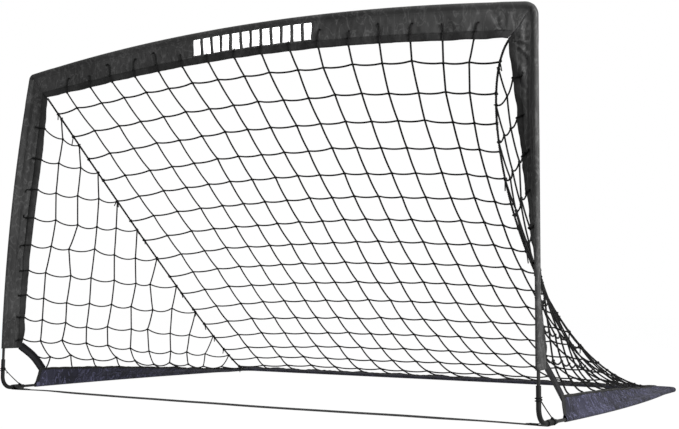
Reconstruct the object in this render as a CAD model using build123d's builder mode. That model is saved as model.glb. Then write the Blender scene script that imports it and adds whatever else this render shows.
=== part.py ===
"""Portable football goal: shock-corded poles in fabric sleeves, steel elbows and a netted cage.

Millimetres. +X is to the right seen from the front, +Y from the mouth to the back, +Z up.
The origin is on the ground, half way between the mouth and the rear bar.
"""

from math import atan, cos, hypot, radians, sin, tan
import os

from build123d import *

# ---- overall sizes -------------------------------------------------------------------
goal_width = 1830.0          # between the uprights' axes at the ground
goal_depth = 1340.0          # uprights' axes to the rear bar's axis
corner_height = 1042.0       # ground to the pole axes' meeting point at a top corner
crossbar_rise = 58.0         # how far the crossbar arches above the top corners
lean_in = 24.0               # each top corner stands this far inside its foot
lean_back = 60.0             # and this far behind it
rear_width = 1820.0          # between the rear corners' axes
side_bow = 28.0              # how far a ground rail bows outwards
bow_margin = 1.0             # straight length left beside a rail's elbow legs

# ---- poles, ferrules and cord --------------------------------------------------------
pole_diameter = 8.5
pole_bore = 5.0
pole_gap = 0.4               # between two pole ends inside a ferrule
fit_clearance = 0.05         # radial, pole in ferrule or elbow
ferrule_wall = 0.8
ferrule_length = 80.0
shock_cord_diameter = 3.0
shock_cord_setback = 12.0    # the cord's anchor stands this far inside a pole end

# ---- elbows --------------------------------------------------------------------------
elbow_wall = 2.0
socket_depth = 40.0          # how far a pole goes into an elbow
elbow_top = 100.0            # top of a front elbow's upright leg
front_leg = 96.0             # front elbow's ground leg, from its corner point
front_bend = 38.0            # bend radii, to the tube's axis
top_bend = 28.0
top_reach = 74.0             # top elbow's legs, from its corner point
rear_bend = 40.0
rear_reach = 88.0            # rear elbow's legs, from its corner point
bend_start = 112.0           # the uprights are straight below this height
return_length = 34.0         # half of the short curve that squares a rail to its elbow

# ---- sleeves -------------------------------------------------------------------------
fabric = 1.2                 # doubled sleeve cloth
channel_wall = 1.0
channel_play = 0.6           # radial, elbow in its sleeve channel
elbow_room = 0.4             # radial, top elbow in the crossbar sleeve's end
hoop_flap = 78.0             # pole axis to the inner edge of the uprights' and crossbar's flaps
hem_width = 22.0
hem_thickness = 1.8
hem_gap = 0.15
ground_flap = 60.0           # pole axis to the inner edge of the ground flaps
upright_sleeve_foot = 135.0  # height of an upright sleeve's lower end
twist_top = 0.0              # flap's turn from the mouth's plane at the top corner, degrees
twist_foot = 90.0            # and at its lower end
side_sleeve_front = 152.0    # mouth plane to the front end of a side ground sleeve
side_tilt_front = 80.0       # side flap's angle above the ground at its front end, degrees
ground_tilt = 12.0           # and at the rear corner and along the rear bar
sleeve_gap = 3.0             # between a side sleeve and the rear corner's sleeve
upright_steps = 36           # cross-sections that each twisted or arched flap is lofted through
crossbar_steps = 12
rail_steps = 48

# ---- straps, tapes and cords ---------------------------------------------------------
strap_width = 25.0
strap_thickness = 1.5
strap_play = 0.2
strap_place = 56.0           # mouth plane to the strap's middle
corner_cord_diameter = 2.6
corner_cord_play = 0.15
knot_thickness = 1.5         # the cord is flattened where it goes round a leg
corner_cord_height = 68.0    # where the cord is tied round the upright leg
corner_cord_back = 78.0      # and round the ground leg, from the mouth plane
tape_width = 20.0
tape_thickness = 1.6
tape_gap = 1.0

# ---- net -----------------------------------------------------------------------------
twine = 2.5
rope_diameter = 5.0
net_gap = 3.0                # net to the sleeves that it is laced to
rope_gap = 2.0               # net to its own seam rope
first_share = 0.06           # how far down the seam rope a side net starts
back_rows = 10               # cross-sections that the back net is lofted through
side_row_step = 4            # upright cross-sections between two of a side net's
floor_clearance = 8.0
seam_sags = (                # share of the way down, then inwards, forwards and down from straight
    (0.05, 64.0, 56.0, 28.0),
    (0.50, 156.0, 162.0, 90.0),
    (0.90, 80.0, 45.0, 96.0),
)

# ---- worked out ----------------------------------------------------------------------
half_width = goal_width / 2
half_rear = rear_width / 2
front_y = -goal_depth / 2
rear_y = goal_depth / 2
pole_radius = pole_diameter / 2
socket_radius = pole_radius + fit_clearance
ferrule_radius = socket_radius + ferrule_wall
elbow_radius = socket_radius + elbow_wall
channel_bore = elbow_radius + channel_play
channel_radius = channel_bore + channel_wall
ground_z = elbow_radius + strap_play + strap_thickness
top_half = half_width - lean_in
top_y = front_y + lean_back
sides = (("left", -1), ("right", 1))

os.makedirs("parts", exist_ok=True)


def save(solid, name):
    """Label a finished piece and write its file."""
    solid.label = name
    export_step(solid, f"parts/{name}.step")


def stretch(axis, side, start, end):
    """The part of an axis between two distances from its left (-1) or right (+1) end."""
    if side > 0:
        start, end = axis.length - end, axis.length - start
    return axis.trim(start / axis.length, end / axis.length)


def edge_ends(axis):
    """Distances along an axis at which its runs and arcs end."""
    ends = [0.0]
    for edge in axis.edges():
        ends.append(ends[-1] + edge.length)
    return ends


def tube(path, radius, bore=0.0):
    """A round tube or rod along a path."""
    with BuildPart() as made:
        with BuildSketch(Plane(origin=path @ 0, z_dir=path % 0)):
            Circle(radius)
            if bore:
                Circle(bore, mode=Mode.SUBTRACT)
        sweep(path=path)
    return made.part


def strip(stations, inner, outer, thickness):
    """A thin strip of cloth lofted through (point, direction across, direction along) stations."""
    with BuildPart() as made:
        for point, across, along in stations:
            with BuildSketch(Plane(origin=point, x_dir=across, z_dir=along)):
                with Locations(((inner + outer) / 2, 0)):
                    Rectangle(outer - inner, thickness)
        loft(ruled=True)
    return made.part


def sheet(rows, thickness):
    """A thin sheet lofted through rows, each given by its two end points and its way down."""
    with BuildPart() as made:
        for first, last, down in rows:
            along = last - first
            flat_down = down - along * (down.dot(along) / along.dot(along))
            with BuildSketch(Plane(origin=(first + last) * 0.5, x_dir=along, z_dir=flat_down)):
                Rectangle(along.length, thickness)
        loft(ruled=True)
    return made.part


# ---- the hoop's axis: foot, upright, top corner, crossbar and down again --------------
lean = hypot(lean_in, lean_back)
upright_turn = 2 * atan(lean / (corner_height - bend_start + top_reach))
upright_run = lean / sin(upright_turn) - top_reach
crossbar_turn = 2 * atan(crossbar_rise / (top_half + top_reach))
arch_run = top_half / cos(crossbar_turn) - top_reach


def hoop_points(side):
    """Foot, bend point and top corner of one side of the hoop's axis."""
    foot = Vector(side * half_width, front_y, elbow_top - socket_depth)
    bend = Vector(side * half_width, front_y, bend_start + upright_run)
    corner = Vector(side * top_half, top_y, corner_height)
    return foot, bend, corner


left_foot, left_bend, left_corner = hoop_points(-1)
right_foot, right_bend, right_corner = hoop_points(1)
arch_top = Vector(0, top_y, corner_height + top_half * tan(crossbar_turn))
upright_arc = upright_run / tan(upright_turn / 2)
arch_arc = arch_run / tan(crossbar_turn)

with BuildLine() as hoop_line:
    FilletPolyline(
        left_foot, left_bend, left_corner, arch_top, right_corner, right_bend, right_foot,
        radius=[upright_arc, top_bend, arch_arc, top_bend, upright_arc],
    )
hoop = hoop_line.wire()
hoop_ends = edge_ends(hoop)
top_elbow_start, top_elbow_end = hoop_ends[2], hoop_ends[5]
crossbar_start = top_elbow_end - socket_depth
upright_length = top_elbow_start + socket_depth

# ---- the base's axis: front elbow, rail, rear bar, rail and front elbow ---------------
rail_end = rear_y - rear_reach - return_length
rail_middle = (front_y + rail_end) / 2
half_rail = (rail_end - front_y) / 2
bow_run = half_rail - max(front_leg, return_length) - bow_margin
bow_point = side_bow / (1 - bow_run / (2 * half_rail))
rail_turn_front = atan(bow_point / half_rail)
rail_turn_rear = atan((half_width + bow_point - half_rear) / half_rail)


def base_points(side):
    """One side of the base's axis, from the top of the front elbow to the rear corner."""
    return [
        Vector(side * half_width, front_y, elbow_top),
        Vector(side * half_width, front_y, ground_z),
        Vector(side * (half_width + bow_point), rail_middle, ground_z),
        Vector(side * half_rear, rail_end, ground_z),
        Vector(side * half_rear, rear_y, ground_z),
    ]


bow_arc = bow_run / tan((rail_turn_front + rail_turn_rear) / 2)
return_arc = return_length / tan(rail_turn_rear / 2)
side_radii = [front_bend, bow_arc, return_arc, rear_bend]

with BuildLine() as base_line:
    FilletPolyline(*base_points(-1), *base_points(1)[::-1], radius=side_radii + side_radii[::-1])
base = base_line.wire()
base_ends = edge_ends(base)
front_elbow_end = base_ends[2] + front_leg - front_bend
rear_elbow_start = base_ends[7] - (rear_reach - rear_bend)
rear_elbow_end = base_ends[8] + (rear_reach - rear_bend)
rail_start = front_elbow_end - socket_depth
rail_finish = rear_elbow_start + socket_depth
rear_start = rear_elbow_end - socket_depth

# ---- poles, ferrules and shock cords --------------------------------------------------


def pole_run(axis, side, start, end, names, ferrules, cord):
    """Poles laid end to end along one run of an axis, with their ferrules and shock cord."""
    each = (end - start) / len(names)
    for index, name in enumerate(names):
        near = start + index * each + (pole_gap / 2 if index else 0)
        far = start + (index + 1) * each - (pole_gap / 2 if index < len(names) - 1 else 0)
        save(tube(stretch(axis, side, near, far), pole_radius, pole_bore / 2), name)
    for index, name in enumerate(ferrules):
        middle = start + (index + 1) * each
        path = stretch(axis, side, middle - ferrule_length / 2, middle + ferrule_length / 2)
        save(tube(path, ferrule_radius, socket_radius), name)
    path = stretch(axis, side, start + shock_cord_setback, end - shock_cord_setback)
    save(tube(path, shock_cord_diameter / 2), cord)


for word, side in sides:
    pole_run(
        hoop, side, 0, upright_length,
        [f"{word}_upright_lower_pole", f"{word}_upright_upper_pole"],
        [f"{word}_upright_ferrule"], f"{word}_upright_shock_cord",
    )
    pole_run(
        base, side, rail_start, rail_finish,
        [f"{word}_rail_front_pole", f"{word}_rail_rear_pole"],
        [f"{word}_rail_ferrule"], f"{word}_rail_shock_cord",
    )
pole_run(
    hoop, -1, crossbar_start, hoop.length - crossbar_start,
    ["crossbar_left_pole", "crossbar_middle_pole", "crossbar_right_pole"],
    ["crossbar_left_ferrule", "crossbar_right_ferrule"], "crossbar_shock_cord",
)
pole_run(
    base, -1, rear_start, base.length - rear_start,
    ["rear_left_pole", "rear_middle_pole", "rear_right_pole"],
    ["rear_left_ferrule", "rear_right_ferrule"], "rear_shock_cord",
)

# ---- elbows ---------------------------------------------------------------------------
for word, side in sides:
    front_path = stretch(base, side, 0, front_elbow_end)
    rear_path = stretch(base, side, rear_elbow_start, rear_elbow_end)
    top_path = stretch(hoop, side, top_elbow_start, top_elbow_end)
    save(tube(front_path, elbow_radius, socket_radius), f"{word}_front_elbow")
    save(tube(rear_path, elbow_radius, socket_radius), f"{word}_rear_elbow")
    save(tube(top_path, elbow_radius, socket_radius), f"{word}_top_elbow")

# ---- sleeves of the hoop --------------------------------------------------------------
flap_root = channel_bore + channel_wall / 2


def mitre_plane(side, shift):
    """The plane that halves a top corner, moved by shift towards the upright."""
    corner = hoop_points(side)[2]
    down = (hoop_points(side)[1] - corner).normalized()
    inward = (arch_top - corner).normalized()
    normal = (down - inward).normalized()
    return Plane(origin=corner + normal * shift, z_dir=normal)


def upright_stations(side):
    """Places and directions of an upright's flap, from its foot to beyond its top corner."""
    corner = hoop_points(side)[2]
    end_tangent = (corner - hoop_points(side)[1]).normalized()
    low = upright_sleeve_foot - (elbow_top - socket_depth)
    stations = []
    for index in range(upright_steps + 1):
        share = index / upright_steps
        turn = radians(twist_foot + (twist_top - twist_foot) * share)
        if index == upright_steps:
            point, along = corner, end_tangent
        else:
            spot = stretch(hoop, -1, 0, low + (top_elbow_start - low) * share)
            point, along = spot @ 1, spot % 1
            point = Vector(-side * point.X, point.Y, point.Z)
            along = Vector(-side * along.X, along.Y, along.Z)
        across = Vector(-side * cos(turn), sin(turn), 0)
        across = (across - along * across.dot(along)).normalized()
        stations.append((point, across, along))
    return stations


def crossbar_stations():
    """Places and directions of the crossbar's flap from corner to corner."""
    stations = []
    for index in range(crossbar_steps + 1):
        share = index / crossbar_steps
        if index in (0, crossbar_steps):
            point = left_corner if index == 0 else right_corner
            along = (arch_top - point) * (1 if index == 0 else -1)
        else:
            spot = stretch(
                hoop, -1, 0, top_elbow_end + (hoop.length - 2 * top_elbow_end) * share)
            point, along = spot @ 1, spot % 1
        along = along.normalized()
        across = Vector(along.Z, 0, -along.X)
        stations.append((point, across, along))
    return stations


def channelled(path, flap, planes):
    """A sleeve: a round channel along a path with its flap, cut off at mitre planes."""
    with BuildPart() as sleeve:
        add(tube(path, channel_radius))
        add(flap)
        add(tube(path, channel_bore), mode=Mode.SUBTRACT)
        for plane in planes:
            split(bisect_by=plane, keep=Keep.TOP)
    return sleeve.part


hem_root = hoop_flap - hem_width
for word, side in sides:
    stations = upright_stations(side)
    foot_distance = upright_sleeve_foot - (elbow_top - socket_depth)
    path = stretch(hoop, side, foot_distance, top_elbow_end)
    plane = mitre_plane(side, hem_gap)
    flap = strip(stations, flap_root, hem_root - hem_gap, fabric)
    save(channelled(path, flap, [plane]), f"{word}_upright_sleeve")
    with BuildPart() as hem:
        add(strip(stations, hem_root, hoop_flap, hem_thickness))
        split(bisect_by=plane, keep=Keep.TOP)
    save(hem.part, f"{word}_upright_hem")

crossbar_planes = [-mitre_plane(side, -hem_gap) for word, side in sides]
with BuildLine() as mitred_line:
    FilletPolyline(left_corner, arch_top, right_corner, radius=arch_arc)
mitred_path = mitred_line.wire()
point, across, along = crossbar_stations()[0]
with BuildPart() as crossbar_sleeve:
    with BuildSketch(Plane(origin=point, x_dir=across, z_dir=along)):
        Circle(channel_radius)
        with Locations(((flap_root + hem_root - hem_gap) / 2, 0)):
            Rectangle(hem_root - hem_gap - flap_root, fabric)
        Circle(channel_bore, mode=Mode.SUBTRACT)
    sweep(path=mitred_path)
    for word, side in sides:
        elbow_path = stretch(hoop, side, top_elbow_start, top_elbow_end)
        add(tube(elbow_path, elbow_radius + elbow_room), mode=Mode.SUBTRACT)
    for plane in crossbar_planes:
        split(bisect_by=plane, keep=Keep.TOP)
save(crossbar_sleeve.part, "crossbar_sleeve")
with BuildPart() as crossbar_hem:
    add(strip(crossbar_stations(), hem_root, hoop_flap, hem_thickness))
    for plane in crossbar_planes:
        split(bisect_by=plane, keep=Keep.TOP)
save(crossbar_hem.part, "crossbar_hem")

# ---- sleeves on the ground ------------------------------------------------------------


def rail_stations(side):
    """Places and directions of a side flap, from its front end to the rear corner's sleeve."""
    front = base_ends[2] + side_sleeve_front - front_bend
    back = rear_elbow_start - sleeve_gap
    stations = []
    for index in range(rail_steps + 1):
        share = index / rail_steps
        spot = stretch(base, -1, 0, front + (back - front) * share)
        point, along = spot @ 1, spot % 1
        point = Vector(-side * point.X, point.Y, point.Z)
        along = Vector(-side * along.X, along.Y, along.Z)
        tilt = radians(side_tilt_front + (ground_tilt - side_tilt_front) * share)
        inward = Vector(-side * along.Y, side * along.X, 0)
        stations.append((point, inward * cos(tilt) + Vector(0, 0, sin(tilt)), along))
    return stations


for word, side in sides:
    front = base_ends[2] + side_sleeve_front - front_bend
    path = stretch(base, side, front, rear_elbow_start - sleeve_gap)
    flap = strip(rail_stations(side), flap_root, ground_flap, fabric)
    save(channelled(path, flap, []), f"{word}_ground_sleeve")

flap_rise = Vector(0, 0, sin(radians(ground_tilt)))
with BuildPart() as rear_sleeve:
    add(tube(stretch(base, -1, rear_elbow_start, base.length - rear_elbow_start), channel_radius))
    with BuildPart(mode=Mode.PRIVATE) as rear_flap:
        across = Vector(0, -cos(radians(ground_tilt)), 0) + flap_rise
        ends = [Vector(-half_rear, rear_y, ground_z), Vector(half_rear, rear_y, ground_z)]
        add(strip([(end, across, Vector(1, 0, 0)) for end in ends], flap_root, ground_flap, fabric))
        for end, side in zip(ends, (-1, 1)):
            split(bisect_by=Plane(origin=end, z_dir=(-side, 1, 0)), keep=Keep.TOP)
    add(rear_flap.part)
    for word, side in sides:
        with BuildPart(mode=Mode.PRIVATE) as leg_flap:
            across = Vector(-side * cos(radians(ground_tilt)), 0, 0) + flap_rise
            corner = Vector(side * half_rear, rear_y, ground_z)
            ends = [corner - Vector(0, rear_reach, 0), corner]
            add(strip([(e, across, Vector(0, 1, 0)) for e in ends], flap_root, ground_flap, fabric))
            split(bisect_by=Plane(origin=corner, z_dir=(side, -1, 0)), keep=Keep.TOP)
        add(leg_flap.part)
    bore_path = stretch(base, -1, rear_elbow_start, base.length - rear_elbow_start)
    add(tube(bore_path, channel_bore), mode=Mode.SUBTRACT)
save(rear_sleeve.part, "rear_ground_sleeve")

# ---- ground strap: a webbing band with a loop round each front elbow's ground leg ------
loop_radius = elbow_radius + strap_play + strap_thickness
strap_y = front_y + strap_place


def leg_point(side, back):
    """A point on the front elbow's ground leg, at a distance behind the mouth plane."""
    offset = back * bow_point / half_rail
    return Vector(side * (half_width + offset), front_y + back, ground_z)


with BuildPart() as ground_strap:
    with Locations((0, strap_y, strap_thickness / 2)):
        Box(goal_width, strap_width, strap_thickness)
    for word, side in sides:
        along = (leg_point(side, strap_place) - leg_point(side, 0)).normalized()
        start = leg_point(side, strap_place) - along * (strap_width / 2)
        with BuildSketch(Plane(origin=start, z_dir=along)):
            Circle(loop_radius)
        extrude(amount=strap_width)
    for word, side in sides:
        along = (leg_point(side, strap_place) - leg_point(side, 0)).normalized()
        start = leg_point(side, strap_place) - along * strap_width
        with BuildSketch(Plane(origin=start, z_dir=along)):
            Circle(elbow_radius + strap_play)
        extrude(amount=2 * strap_width, mode=Mode.SUBTRACT)
save(ground_strap.part, "ground_strap")

# ---- corner cords: tied round both legs of each front elbow ----------------------------
cord_radius = corner_cord_diameter / 2
knot_radius = elbow_radius + corner_cord_play
for word, side in sides:
    upper = Vector(side * half_width, front_y, corner_cord_height)
    lower = leg_point(side, corner_cord_back)
    leg_way = (lower - leg_point(side, 0)).normalized()
    with BuildPart() as corner_cord:
        for middle, way in ((upper, Vector(0, 0, 1)), (lower, leg_way)):
            with BuildSketch(Plane(origin=middle - way * cord_radius, z_dir=way)):
                Circle(knot_radius + knot_thickness)
                Circle(knot_radius, mode=Mode.SUBTRACT)
            extrude(amount=corner_cord_diameter)
        first = upper + Vector(0, knot_radius + cord_radius, 0)
        last = lower + Vector(0, 0, knot_radius + cord_radius)
        with BuildSketch(Plane(origin=first, z_dir=last - first)):
            Circle(cord_radius)
        extrude(amount=(last - first).length)
    save(corner_cord.part, f"{word}_corner_cord")

# ---- corner tapes: from an upright flap's lower corner to the ground flap's front corner
for word, side in sides:
    flap_corner = Vector(side * half_width, front_y + hoop_flap, upright_sleeve_foot)
    point, across, along = rail_stations(side)[0]
    ground_corner = point + across * ground_flap
    way = (ground_corner - flap_corner).normalized()
    room = tape_width / 2 + tape_gap
    first = flap_corner + way * room
    last = ground_corner - way * room
    with BuildPart() as tape:
        with BuildSketch(Plane(origin=first, x_dir=(side, 0, 0), z_dir=way)):
            Rectangle(tape_thickness, tape_width)
        extrude(amount=(last - first).length)
    save(tape.part, f"{word}_corner_tape")

# ---- net: seam ropes, back panel and side panels ---------------------------------------
rope_radius = rope_diameter / 2
panel_gap = rope_radius + rope_gap + twine / 2
inner_top_x = top_half - hoop_flap
inner_top_z = corner_height - hoop_flap
flap_reach_in = ground_flap * cos(radians(ground_tilt)) + net_gap + rope_radius
seam_top = Vector(inner_top_x, top_y, inner_top_z) + Vector(-1, 1, -1) * (net_gap + rope_radius)
seam_end = Vector(half_rear - flap_reach_in, rear_y - flap_reach_in, ground_z + floor_clearance)


def seam_route(side):
    """The seam rope's axis, from the top corner's hem to the rear corner's flap."""
    points = [seam_top]
    for share, inwards, forwards, down in seam_sags:
        points.append(seam_top + (seam_end - seam_top) * share - Vector(inwards, forwards, down))
    points.append(seam_end)
    points = [Vector(side * point.X, point.Y, point.Z) for point in points]
    runs = [last - first for first, last in zip(points, points[1:])]
    radii = []
    for run, next_run in zip(runs, runs[1:]):
        turn = radians(run.get_angle(next_run))
        radii.append(0.49 * min(run.length, next_run.length) / tan(turn / 2))
    with BuildLine() as route:
        FilletPolyline(*points, radius=radii)
    return route.wire()


seams = {side: seam_route(side) for word, side in sides}
for word, side in sides:
    save(tube(seams[side], rope_radius), f"{word}_seam_rope")

# The back panel: straight rows between the two seam ropes, cut to the crossbar's arch.
arch_height = (hoop @ 0.5).Z - corner_height
rows = []
for index in range(back_rows + 1):
    share = index / back_rows
    left, right = seams[-1] @ share, seams[1] @ share
    down = seams[1] % share
    inset = Vector(panel_gap, 0, 0)
    if index == 0:
        lift = Vector(0, 0, arch_height + hem_width)
        rows.append((left + inset + lift, right - inset + lift, down))
    rows.append((left + inset, right - inset, down))
with BuildPart() as back_net:
    add(sheet(rows, twine))
    with BuildSketch(Plane.XZ.offset(-rear_y)):
        with BuildLine():
            low_left = (-inner_top_x, inner_top_z - net_gap)
            low_right = (inner_top_x, inner_top_z - net_gap)
            ThreePointArc(low_left, (0, inner_top_z + arch_height - net_gap), low_right)
            high = corner_height + crossbar_rise + hoop_flap
            Polyline(low_right, (inner_top_x, high), (-inner_top_x, high), low_left)
        make_face()
    extrude(amount=goal_depth, mode=Mode.SUBTRACT)
save(back_net.part, "back_net")

# The side panels: rows that fan out from an upright's hem to the seam rope.
for word, side in sides:
    edges = []
    for point, across, along in upright_stations(side)[::-side_row_step][1:]:
        edges.append(point + across * (hoop_flap + net_gap + twine))
    edges[-1] += across * tape_width
    point, across, along = rail_stations(side)[0]
    edges.append(point + across * (ground_flap + net_gap + twine) + along * (net_gap + tape_width))
    rows = []
    for index, edge in enumerate(edges):
        share = first_share + (1 - first_share) * index / (len(edges) - 1)
        seam_point = seams[side] @ share
        seam_point = seam_point + (edge - seam_point).normalized() * (panel_gap + twine)
        rows.append((edge, seam_point, Vector(0, 0, -1)))
    save(sheet(rows, twine), f"{word}_side_net")
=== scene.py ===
"""Looks of the portable football goal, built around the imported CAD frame. Metres."""

import math

import bpy
import numpy as np
from mathutils import Matrix, Vector


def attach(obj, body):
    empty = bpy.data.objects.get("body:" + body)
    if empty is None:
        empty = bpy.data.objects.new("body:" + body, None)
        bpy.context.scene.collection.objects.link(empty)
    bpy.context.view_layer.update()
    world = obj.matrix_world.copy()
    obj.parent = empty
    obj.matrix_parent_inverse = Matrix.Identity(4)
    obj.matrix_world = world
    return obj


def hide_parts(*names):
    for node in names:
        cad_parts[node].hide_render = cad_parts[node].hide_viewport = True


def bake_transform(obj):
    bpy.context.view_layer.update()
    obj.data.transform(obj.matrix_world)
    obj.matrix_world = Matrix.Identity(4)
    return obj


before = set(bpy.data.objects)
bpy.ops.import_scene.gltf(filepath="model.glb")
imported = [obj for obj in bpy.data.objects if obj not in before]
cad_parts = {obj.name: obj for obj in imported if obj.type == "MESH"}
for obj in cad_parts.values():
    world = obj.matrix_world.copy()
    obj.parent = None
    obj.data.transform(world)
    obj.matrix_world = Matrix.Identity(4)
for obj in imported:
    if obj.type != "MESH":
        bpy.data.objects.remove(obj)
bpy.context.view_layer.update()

# ---- sizes that the CAD source also has ----
HALF_WIDTH, HALF_REAR = 0.915, 0.910
FRONT_Y, REAR_Y = -0.670, 0.670
CORNER_Z, RISE = 1.042, 0.058
LEAN_IN, LEAN_BACK = 0.024, 0.060
BOW = 0.028
TOP_HALF, TOP_Y = HALF_WIDTH - LEAN_IN, FRONT_Y + LEAN_BACK
BEND_START, TOP_REACH = 0.112, 0.074
FRONT_LEG, RETURN, REAR_REACH = 0.096, 0.034, 0.088
GROUND_Z = 0.0080
ELBOW_R = 0.0063
POCKET_R = 0.0079             # outside of a sleeve's pole channel
HOOP_FLAP, HEM = 0.078, 0.022
GROUND_FLAP = 0.060
SLEEVE_FOOT = 0.135
SIDE_FRONT = 0.152
STRAP_BACK, STRAP_WIDTH = 0.056, 0.025
STRAP_Y = FRONT_Y + STRAP_BACK
CORD_Z, CORD_BACK = 0.068, 0.078

# ---- sizes that only this model has ----
CORD_D, TAPE_WIDTH = 0.0030, 0.026
TWINE_R, BACK_TWINE_R, ROPE_R = 0.0024, 0.0027, 0.0034
SLEEVE_GAP, SLEEVE_THICK, HEM_THICK = 0.00075, 0.0006, 0.0005
HOOP_ROWS = ((0.0165, 0.00125),)           # stitches: distance across the flap, height
HEM_ROWS = ((HOOP_FLAP - HEM + 0.0022, 0.0020), (HOOP_FLAP - 0.0035, 0.0020))
GROUND_ROWS = ((0.0185, 0.00125), (GROUND_FLAP - 0.0052, 0.0019))
STITCH_PITCH, STITCH_LENGTH, STITCH_R = 0.0046, 0.0032, 0.00028
ROWS, CELLS = 16, 17                       # the back net's rows of twine, and cells across
SIDE_ROWS = 11                             # a side net's, each from the post to a seam's knot
NET_HALF = TOP_HALF - HOOP_FLAP + 0.002    # half the back net's width at the crossbar
CELL = 2 * (TOP_HALF - HOOP_FLAP) / CELLS
SPLIT_Y = 0.08                             # nets and seam ropes are two objects, cut here
WAVE_PERIOD = 0.314                        # of a wave texture at scale 1


# ---- materials ----
def make_material(name, rough=0.7, **sockets):
    """A new material with those shader sockets, whose names have _ for a space."""
    mat = bpy.data.materials.new(name)
    mat.use_nodes = True
    shader = mat.node_tree.nodes["Principled BSDF"].inputs
    shader["Roughness"].default_value = rough
    for socket, value in sockets.items():
        shader[socket.replace("_", " ")].default_value = value
    return mat


def feed(mat, socket, value):
    """Links another node's output to a socket, or sets it to a plain value."""
    if isinstance(value, bpy.types.NodeSocket):
        mat.node_tree.links.new(value, socket)
    else:
        socket.default_value = value


def add_node(mat, kind, inputs=(), **settings):
    node = mat.node_tree.nodes.new(kind)
    for key, value in settings.items():
        setattr(node, key, value)
    for socket, value in dict(inputs).items():
        feed(mat, node.inputs[socket], value)
    return node


def grey(value, blue=0.0):
    return (value, value, value * (1 + blue), 1)


def ramp(mat, factor, *stops, blue=0.0):
    """Greys along a factor, from (place, value) stops."""
    node = add_node(mat, "ShaderNodeValToRGB", {"Fac": factor})
    while len(node.color_ramp.elements) < len(stops):
        node.color_ramp.elements.new(0.5)
    for element, (at, value) in zip(node.color_ramp.elements, stops):
        element.position = at
        element.color = grey(value, blue)
    return node.outputs["Color"]


def noise(mat, scale, detail=4.0, stretch=(1, 1, 1), distortion=0.0):
    place = add_node(mat, "ShaderNodeTexCoord").outputs["Object"]
    place = add_node(mat, "ShaderNodeMapping", {"Vector": place, "Scale": stretch}).outputs[0]
    inputs = {"Vector": place, "Scale": scale, "Detail": detail, "Distortion": distortion}
    return add_node(mat, "ShaderNodeTexNoise", inputs).outputs["Fac"]


def bands(mat, pitch, direction):
    """Stripes across the UV map, whose units are metres, one each pitch."""
    uv = add_node(mat, "ShaderNodeTexCoord").outputs["UV"]
    wave = add_node(mat, "ShaderNodeTexWave", {"Vector": uv, "Scale": WAVE_PERIOD / pitch},
                    wave_type="BANDS", bands_direction=direction, wave_profile="SIN")
    return wave.outputs["Fac"]


def mix(mat, factor, first, second, blend="MIX"):
    """Two colours mixed; the node's sockets 6, 7 and 2 are its colour ones."""
    node = add_node(mat, "ShaderNodeMix", {0: factor, 6: first, 7: second},
                    data_type="RGBA", blend_type=blend)
    return node.outputs[2]


def combine(mat, operation, first, second):
    return add_node(mat, "ShaderNodeMath", {0: first, 1: second}, operation=operation).outputs[0]


def remap(mat, value, low, high):
    """A factor from 0 to 1 spread over low to high."""
    node = add_node(mat, "ShaderNodeMapRange", {"Value": value, "To Min": low, "To Max": high})
    return node.outputs["Result"]


def finish_material(mat, colour, heights=(), rough=None):
    """Colour, stacked bumps of (height, distance, strength), and roughness into the shader."""
    shader = mat.node_tree.nodes["Principled BSDF"].inputs
    feed(mat, shader["Base Color"], colour)
    if rough is not None:
        feed(mat, shader["Roughness"], rough)
    normal = None
    for height, distance, strength in heights:
        bump = add_node(mat, "ShaderNodeBump",
                        {"Height": height, "Distance": distance, "Strength": strength})
        if normal is not None:
            feed(mat, bump.inputs["Normal"], normal)
        normal = bump.outputs["Normal"]
    if normal is not None:
        feed(mat, shader["Normal"], normal)
    return mat


def woven(name, dark, light, crinkle_highlight, crinkle, blue=0.0, weave=0.0009, sheen=0.0, fold=5.0):
    """Plain woven polyester: fine weave, crinkles, faded patches, and a painted highlight: pale
    lines laid along the crinkles where light would catch them.
    """
    mat = make_material(name, Sheen_Weight=sheen, Sheen_Roughness=0.4, Specular_IOR_Level=0.10)
    patches = noise(mat, fold, 5, distortion=0.6)
    base = ramp(mat, patches, (0.32, dark), (0.68, light), blue=blue)
    crease = noise(mat, 34.0, 8, stretch=(1, 1, 0.45), distortion=1.4)
    # painted highlight: a pale grey laid along the crinkles' ridges, standing in for light catching
    # them
    lines = ramp(mat, crease, (0.47, 0), (0.50, 1), (0.53, 0))
    base = mix(mat, combine(mat, "MULTIPLY", lines, 0.55), base, grey(crinkle_highlight, blue))
    cloth = combine(mat, "MAXIMUM", bands(mat, weave, "X"), bands(mat, weave, "Y"))
    base = mix(mat, 0.35, base, ramp(mat, cloth, (0.2, 0.35), (1, 1)), "MULTIPLY")
    heights = [(crease, crinkle, 0.8), (noise(mat, 140.0, 3), 0.00015, 0.5),
               (cloth, weave / 5, 0.6)]
    return finish_material(mat, base, heights, remap(mat, crease, 0.55, 0.8))


def ribbed(name, dark, light, pitch, blue=0.0, edge=None):
    """Narrow webbing or tape: ribs along its length, a woven cross pattern, darker edges."""
    mat = make_material(name, 0.62, Specular_IOR_Level=0.08)
    base = ramp(mat, noise(mat, 22.0, 5), (0.3, dark), (0.7, light), blue=blue)
    across, along = bands(mat, pitch, "Y"), bands(mat, pitch * 0.8, "DIAGONAL")
    if edge is not None:
        rim = ramp(mat, bands(mat, edge, "Y"), (0.25, 1), (0.6, 0))
        base = mix(mat, rim, base, grey(dark * 0.5, blue))
    return finish_material(mat, base, [(along, pitch / 6, 0.5), (across, pitch / 5, 0.7),
                                       (noise(mat, 90.0, 3), 0.0002, 0.4)])


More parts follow.
